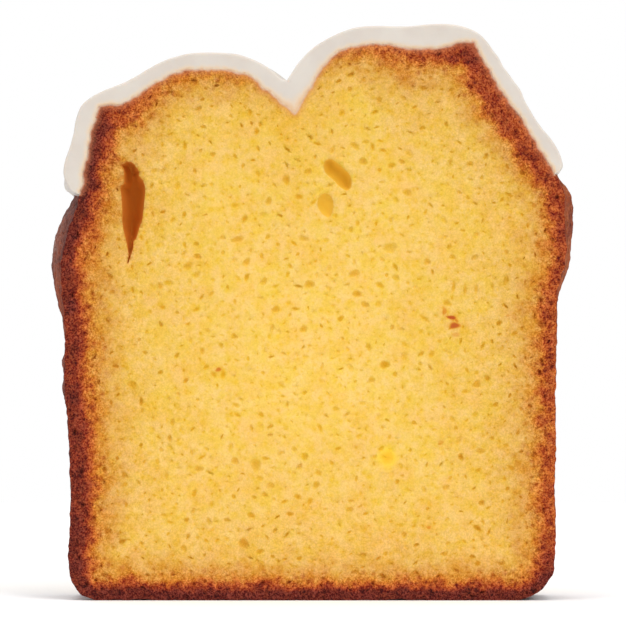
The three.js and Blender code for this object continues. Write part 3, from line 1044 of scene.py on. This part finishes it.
class Nodes:
    """A material's nodes. Each method from value to bump adds nodes and returns an output socket."""

    def __init__(self, name):
        self.material = bpy.data.materials.new(name)
        self.material.use_nodes = True
        self.tree = self.material.node_tree
        self.place = self.add("ShaderNodeTexCoord").outputs["Object"]
        self.height = self.add("ShaderNodeSeparateXYZ", {0: self.place}).outputs["Z"]

    def add(self, kind, inputs=(), **settings):
        node = self.tree.nodes.new(kind)
        for key, value in settings.items():
            setattr(node, key, value)
        self.feed(node, inputs)
        return node

    def feed(self, node, inputs):
        """Gives a node's inputs, by name or number, their sockets or plain values."""
        for key, value in dict(inputs).items():
            if isinstance(value, bpy.types.NodeSocket):
                self.tree.links.new(value, node.inputs[key])
            else:
                node.inputs[key].default_value = value

    def value(self, name):
        """A value that the mesh holds for each of its vertices."""
        return self.add("ShaderNodeAttribute", attribute_name=name).outputs["Fac"]

    def noise(self, size, detail=2.0, roughness=0.5, distortion=0.0):
        """Noise from 0 to 1 whose features are about size millimetres wide."""
        inputs = {"Vector": self.place, "Scale": 1 / (size * MM)}
        inputs.update({"Detail": detail, "Roughness": roughness, "Distortion": distortion})
        return self.add("ShaderNodeTexNoise", inputs).outputs["Fac"]

    def spots(self, size, share, soft, warp=0.0):
        """Spots, 1 in their middles, in a share of cells of a size. They fade between soft's two gaps."""
        scale = 1 / (size * MM)
        place = self.place
        if warp:
            shift = self.add("ShaderNodeTexNoise", {"Vector": place, "Scale": scale}).outputs["Color"]
            inputs = {0: shift, 1: (warp * MM, warp * MM, warp * MM), 2: place}
            place = self.add("ShaderNodeVectorMath", inputs, operation="MULTIPLY_ADD").outputs[0]
        cells = self.add("ShaderNodeTexVoronoi", {"Vector": place, "Scale": scale})
        number = self.add("ShaderNodeSeparateColor", {0: cells.outputs["Color"]}).outputs[0]
        spot = self.span(cells.outputs["Distance"], *soft, 1.0, 0.0)
        return self.times(spot, self.maths("LESS_THAN", number, share))

    def maths(self, operation, one, two, clamp=False):
        return self.add("ShaderNodeMath", {0: one, 1: two}, operation=operation, use_clamp=clamp).outputs[0]

    def plus(self, one, two, clamp=False):
        return self.maths("ADD", one, two, clamp)

    def times(self, one, two, clamp=False):
        return self.maths("MULTIPLY", one, two, clamp)

    def span(self, value, low, high, to_low=0.0, to_high=1.0):
        """The value, with the stretch from low to high spread from to_low to to_high."""
        inputs = {"Value": value, "From Min": low, "From Max": high, "To Min": to_low, "To Max": to_high}
        return self.add("ShaderNodeMapRange", inputs, clamp=True).outputs["Result"]

    def ramp(self, value, stops):
        node = self.add("ShaderNodeValToRGB", {"Fac": value})
        elements = node.color_ramp.elements
        while len(elements) < len(stops):
            elements.new(1.0)
        for element, (position, color) in zip(elements, stops):
            element.position = position
            element.color = color
        return node.outputs["Color"]

    def mix(self, share, one, two, blend="MIX"):
        inputs = {"Factor": share, 6: one, 7: two}
        return self.add("ShaderNodeMix", inputs, data_type="RGBA", blend_type=blend).outputs[2]

    def dyed(self, color, share, dye):
        """The colour with a share of a dye, which multiplies it."""
        return self.mix(share, color, self.mix(1.0, color, dye, "MULTIPLY"))

    def coated(self, color, coats):
        """The colour under coats of (value, low, high, most, colour), each of which grows with its value."""
        for value, low, high, most, coat in coats:
            color = self.mix(self.span(value, low, high, 0, most), color, coat)
        return color

    def grained(self, color, grain, amount):
        """A colour with a grain of -1 to 1 that looks as strong where it is dark as where it is bright."""
        slope = self.add("ShaderNodeGamma", {"Color": color, "Gamma": 0.58}).outputs["Color"]
        for sign, blend in ((1, "ADD"), (-1, "SUBTRACT")):
            part = self.times(self.times(grain, sign, clamp=True), amount)
            color = self.mix(part, color, slope, blend)
        return color

    def bump(self, height, distance, strength):
        inputs = {"Height": height, "Distance": distance * MM, "Strength": strength}
        return self.add("ShaderNodeBump", inputs).outputs["Normal"]

    def finish(self, color, roughness, normal, **constants):
        """The material, with its shader's inputs."""
        inputs = {"Base Color": color, "Roughness": roughness, "Normal": normal}
        inputs.update((key.replace("_", " "), value) for key, value in constants.items())
        self.feed(self.tree.nodes["Principled BSDF"], inputs)
        return self.material


# How brown the crumb is, and its colour: from pale crumb to the darkest crust
CRUMB_COLORS = (
    (0.0, srgb(249, 210, 122)),
    (0.1, srgb(241, 200, 114)),
    (0.2, srgb(231, 184, 102)),
    (0.3, srgb(222, 165, 84)),
    (0.41, srgb(214, 145, 58)),
    (0.53, srgb(203, 117, 42)),
    (0.655, srgb(182, 85, 31)),
    (0.79, srgb(150, 55, 24)),
    (0.97, srgb(107, 33, 21)),
)
# The same for the baked skin
SKIN_COLORS = (
    (0.2, srgb(216, 150, 84)),
    (0.5, srgb(190, 104, 56)),
    (0.7, srgb(164, 78, 44)),
    (0.88, srgb(120, 50, 34)),
    (1.0, srgb(88, 34, 26)),
)


def crumb_material():
    n = Nodes("Crumb")
    brown, pore, soak, frost = (n.value(name) for name in ("brown", "pore", "soak", "frost"))
    oval, tunnel, peel, zest = (n.value(name) for name in ("oval", "tunnel", "peel", "zest"))
    grain, patches, clumps = n.noise(0.5, 2, 0.6), n.noise(1.3, 2, 0.5), n.noise(3.2, 2, 0.5)
    crust = n.span(brown, 0.2, 0.6)
    # The brown breaks up into clumps, most where it is strong
    uneven = n.span(grain, 0.25, 0.75, -0.1, 0.1)
    for coarser, amount in ((patches, 0.2), (clumps, 0.28)):
        uneven = n.plus(uneven, n.span(coarser, 0.25, 0.75, -amount, amount))
    reach = n.span(brown, 0.02, 0.5, 0.05, 0.3)
    color = n.ramp(n.plus(brown, n.times(uneven, reach), clamp=True), CRUMB_COLORS)
    # Peach and gold run through each other in the pale crumb, with less gold low down
    gold = n.span(n.height, 4 * MM, 40 * MM, -0.3, 0.0)
    for coarser, low, high in ((patches, -0.4, 0.8), (n.noise(2.6), -1, 1), (n.noise(6), -0.6, 0.6)):
        gold = n.plus(gold, n.span(coarser, 0.3, 0.7, low, high))
    color = n.dyed(color, n.span(gold, -0.8, 1.3), tint(0.97, 0.96, 0.5))
    color = n.dyed(color, n.span(n.noise(4.5), 0.4, 0.75), tint(1.0, 0.92, 0.86))
    # Pores have a yellow halo and a gold core, dark red in the crust: partly the crumb's own colour and
    # partly painted shade and inter-reflected light in the pores. Soft ones, with no dimple, lie between the
    # dimples
    soft = n.maths("MAXIMUM", n.spots(1.7, 0.6, (0.12, 0.46), 1.0), n.spots(1.0, 0.4, (0.1, 0.4), 0.6))
    pores = n.maths("MAXIMUM", pore, n.times(soft, n.span(crust, 0, 1, 0.45, 0.9)))
    halo = n.mix(crust, tint(0.97, 0.92, 0.5), tint(0.8, 0.65, 0.58))
    shaded_core = n.mix(n.span(brown, 0.3, 0.7), tint(0.9, 0.77, 0.33), tint(0.56, 0.36, 0.3))
    color = n.dyed(color, n.span(pores, 0, 0.45), halo)
    color = n.dyed(color, n.span(pores, 0.4, 1), shaded_core)
    # Dark blobs in the browned crumb are pores with no dimple: partly their own colour, partly painted shade
    blobs = n.times(n.spots(1.9, 0.8, (0.12, 0.42), 0.7), n.span(brown, 0.15, 0.4, 0, 0.85))
    color = n.dyed(color, blobs, tint(0.7, 0.45, 0.38))
    # The crust is grains with dark pits between them, darker partly as painted shade in those hollows, pale
    # tops that are painted highlights, and painted glints; its fine fleck is partly painted sheen
    shaded_pits = n.span(n.noise(0.95, 2, 0.5, 0.3), 0.46, 0.34)
    highlit_tops = n.span(n.noise(0.4, 2, 0.6, 0.3), 0.58, 0.7)
    color = n.dyed(color, n.times(shaded_pits, n.span(crust, 0, 1, 0.03, 0.5)), tint(0.68, 0.46, 0.4))
    painted_glints = n.times(n.spots(0.9, 0.5, (0.1, 0.32)), 2.6)
    bright = n.maths("MAXIMUM", n.times(highlit_tops, 2.0), painted_glints)
    fleck_and_glint = n.plus(n.span(n.noise(0.32, 1), 0.36, 0.64, -0.55, 0.7), bright)
    grainy = n.maths("MAXIMUM", n.span(crust, 0, 1, 0.05, 0.4), n.span(brown, 0.05, 0.16, 0.05, 0.1))
    color = n.grained(color, fleck_and_glint, grainy)
    # Syrup has soaked in below the split, icing clings to the rim, the holes are orange inside, partly the
    # own colour of their smooth walls and partly painted shade that deepens in the ovals, peel stains the
    # crumb yellow, and zest is orange to red
    color = n.dyed(color, soak, tint(0.97, 0.92, 0.6))
    shaded_oval_color = n.mix(n.span(oval, 0.3, 0.9), srgb(242, 190, 62), srgb(236, 176, 40))
    coats = (
        (frost, 0.15, 0.7, 0.55, srgb(218, 138, 96)),
        (frost, 0.6, 1, 0.85, srgb(234, 202, 176)),
        (oval, 0, 0.2, 0.95, shaded_oval_color),
        (tunnel, 0, 0.12, 1, srgb(222, 134, 42)),
        (peel, 0.1, 0.5, 0.8, srgb(252, 212, 62)),
        (peel, 0.5, 0.9, 0.8, srgb(246, 186, 38)),
        (zest, 0, 0.45, 0.9, srgb(224, 146, 40)),
        (zest, 0.5, 0.95, 0.95, srgb(190, 82, 32)),
    )
    color = n.coated(color, coats)
    height = n.plus(grain, n.times(highlit_tops, 0.5))
    height = n.maths("SUBTRACT", height, n.times(shaded_pits, n.span(crust, 0, 1, 0.1, 1.2)))
    height = n.times(height, n.span(n.plus(oval, tunnel), 0, 0.2, 1.0, 0.1))
    normal = n.bump(n.times(height, n.span(crust, 0, 1, 1, 2)), 0.14, 0.7)
    return n.finish(
        color,
        n.span(n.plus(crust, grain), 0.4, 1.6, 0.85, 0.6),
        normal,
        Subsurface_Weight=0.2,
        Subsurface_Radius=(1.0, 0.6, 0.25),
        Subsurface_Scale=0.5 * MM,
        Specular_IOR_Level=0.15,
    )


def skin_material():
    n = Nodes("Baked skin")
    grain, patches = n.noise(0.7, 3, 0.6), n.noise(3, 3, 0.55)
    brown = n.value("brown")
    for coarser, amount in ((grain, 0.1), (patches, 0.16), (n.noise(11), 0.1)):
        brown = n.plus(brown, n.span(coarser, 0.3, 0.7, -amount, amount))
    # Dark pits, partly painted shade in their hollows, and painted highlights on the grains' tops; the fleck
    # is partly painted sheen
    shaded_pits = n.span(n.noise(1.1, 2, 0.6, 0.3), 0.46, 0.34)
    highlit_tops = n.span(n.noise(0.6, 2, 0.6, 0.3), 0.56, 0.7)
    color = n.dyed(n.ramp(brown, SKIN_COLORS), n.times(shaded_pits, 0.5), tint(0.45, 0.34, 0.32))
    fleck_and_glint = n.plus(n.span(grain, 0.3, 0.7, -0.8, 0.8), n.times(highlit_tops, 2.0))
    color = n.grained(color, fleck_and_glint, 0.2)
    # A painted sheen: where the skin would reflect the bright room, it is painted greyer and paler
    sheen_share = n.times(n.value("painted_sheen"), n.span(grain, 0.36, 0.64))
    sheen_share = n.times(sheen_share, n.span(patches, 0.35, 0.6, 0.4, 1))
    color = n.mix(sheen_share, color, srgb(186, 142, 126))
    normal = n.bump(n.maths("SUBTRACT", n.plus(grain, n.times(highlit_tops, 0.5)), shaded_pits), 0.5, 0.9)
    return n.finish(color, n.span(patches, 0.3, 0.7, 0.6, 0.8), normal, Specular_IOR_Level=0.09)


def icing_material():
    n = Nodes("Icing")
    clouds, grain = n.noise(6, 3), n.noise(0.5)
    color = n.mix(n.span(clouds, 0.35, 0.65), srgb(221, 211, 201), srgb(226, 218, 208))
    soak = n.plus(n.value("soak"), n.span(grain, 0.3, 0.7, -0.08, 0.08), clamp=True)
    coats = ((soak, 0.05, 0.5, 1, srgb(234, 214, 190)), (soak, 0.45, 1, 1, srgb(236, 196, 154)))
    return n.finish(
        n.coated(color, coats),
        n.span(clouds, 0.3, 0.7, 0.38, 0.5),
        n.bump(n.plus(grain, n.times(clouds, 3.0)), 0.03, 0.5),
        Subsurface_Weight=0.4,
        Subsurface_Radius=(1.0, 0.8, 0.6),
        Subsurface_Scale=1.0 * MM,
        Specular_IOR_Level=0.3,
    )


# ---- the studio
FRAME_WIDTH = 125.2  # of the picture, in the plane of the front cut
CAMERA_DISTANCE = 1080.0  # from the front cut
CAMERA_HEIGHT = 57.5
SENSOR = 36.0
WORLD_LIGHT = 0.52  # how bright the room is for what stands in it
PAPER_RADIUS = 0.55  # of the round white paper that the slice stands on, in metres
PAPER_POINTS = 96


def make_camera():
    data = bpy.data.cameras.new("Camera")
    data.sensor_width = SENSOR
    data.lens = SENSOR * CAMERA_DISTANCE / FRAME_WIDTH
    camera = linked("Camera", data)
    camera.location = (0, (FRONT - CAMERA_DISTANCE) * MM, CAMERA_HEIGHT * MM)
    camera.rotation_euler = (math.pi / 2, 0, 0)
    bpy.context.scene.camera = camera


def area_light(name, place, target, size, power):
    data = bpy.data.lights.new(name, "AREA")
    data.shape = "DISK"
    data.size = size
    data.energy = power
    light = linked(name, data)
    light.location = place
    light.rotation_euler = (Vector(target) - Vector(place)).to_track_quat("-Z", "Y").to_euler()


def make_studio():
    world = bpy.data.worlds.new("Studio")
    world.use_nodes = True
    background = world.node_tree.nodes["Background"]
    background.inputs["Color"].default_value = (1, 1, 1, 1)
    # Behind the slice the room is plain white
    seen = world.node_tree.nodes.new("ShaderNodeLightPath").outputs["Is Camera Ray"]
    strength = world.node_tree.nodes.new("ShaderNodeMapRange")
    world.node_tree.links.new(seen, strength.inputs["Value"])
    strength.inputs["To Min"].default_value = WORLD_LIGHT
    world.node_tree.links.new(strength.outputs["Result"], background.inputs["Strength"])
    bpy.context.scene.world = world
    heart = (0, 0, 0.055)  # the middle of the slice
    area_light("Key", (1.5, -2.4, 1.9), heart, 1.4, 36)
    area_light("Fill", (-2.0, -2.2, 0.9), heart, 1.6, 11)
    area_light("Top", (0.0, -0.5, 2.4), (0, 0.1, 0), 1.8, 32)
    area_light("Rear", (-1.2, 2.6, 1.2), heart, 1.6, 16)
    bpy.context.scene.view_settings.view_transform = "Standard"


def make_paper():
    turns = np.linspace(0, 2 * math.pi, PAPER_POINTS, endpoint=False)
    vertices = [(PAPER_RADIUS * math.cos(turn), PAPER_RADIUS * math.sin(turn), 0) for turn in turns]
    mesh = bpy.data.meshes.new("paper")
    mesh.from_pydata(vertices, [], [range(PAPER_POINTS)])
    n = Nodes("Paper")
    speck = n.noise(1.0)
    color = n.mix(speck, tint(0.98, 0.98, 0.98), tint(1.0, 1.0, 1.0))
    mesh.materials.append(n.finish(color, 0.8, n.bump(speck, 0.01, 0.2)))
    linked("paper", mesh)


# ---- the whole
make_camera()
make_studio()
make_paper()

outlines = outlines_through("cake")
rings = skin_rings(outlines)
cake = make_cake(rings)
cake.data.materials.append(crumb_material())
cake.data.materials.append(skin_material())
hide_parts("cake")
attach(cake, "root")

backs = [nudged(line, outward(line), share, CAKE_NUDGES) for line, share in zip(outlines, SHARES)]
icing = make_icing([rings[0], *backs[1:-1], rings[-1]], outlines)
icing.data.materials.append(icing_material())
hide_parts("icing")
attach(icing, "root")
